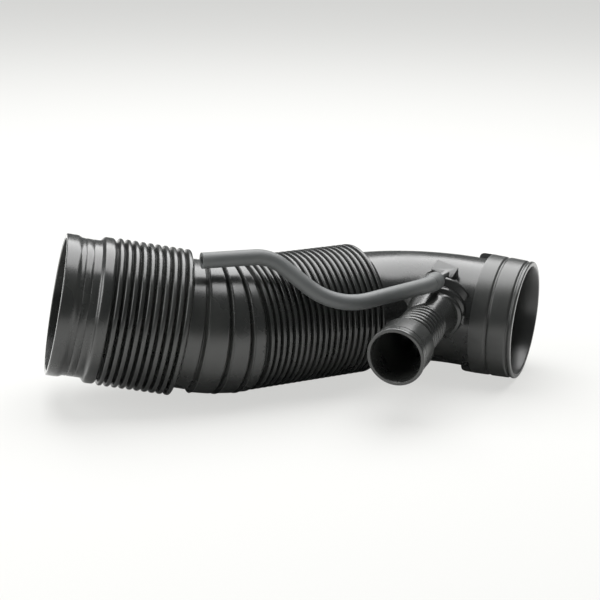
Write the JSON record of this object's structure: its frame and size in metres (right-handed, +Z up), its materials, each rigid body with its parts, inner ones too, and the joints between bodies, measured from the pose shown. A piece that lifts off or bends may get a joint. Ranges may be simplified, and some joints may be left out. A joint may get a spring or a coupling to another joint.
{
  "type": "cold air intake pipe",
  "caption": "Black moulded air intake duct with two bellows, a curved elbow, a ribbed side branch, an outlet sleeve and a small formed breather hose.",
  "frame": {"origin": "middle of the bounding box on the floor that the part rests on", "axes": "+X along the duct from the wide inlet to the outlet, +Y away from the side branch, +Z up"},
  "size_m": [0.3106, 0.157, 0.101],
  "materials": {
    "duct": "satin moulded black",
    "cuff": "matte moulded black",
    "nipple": "satin black plastic",
    "hose": "matte black"
  },
  "bodies": {
    "root": {"intake_duct": "duct", "outlet_cuff": "cuff", "hose_nipple": "nipple", "formed_hose": "hose"}
  },
  "joints": []
}
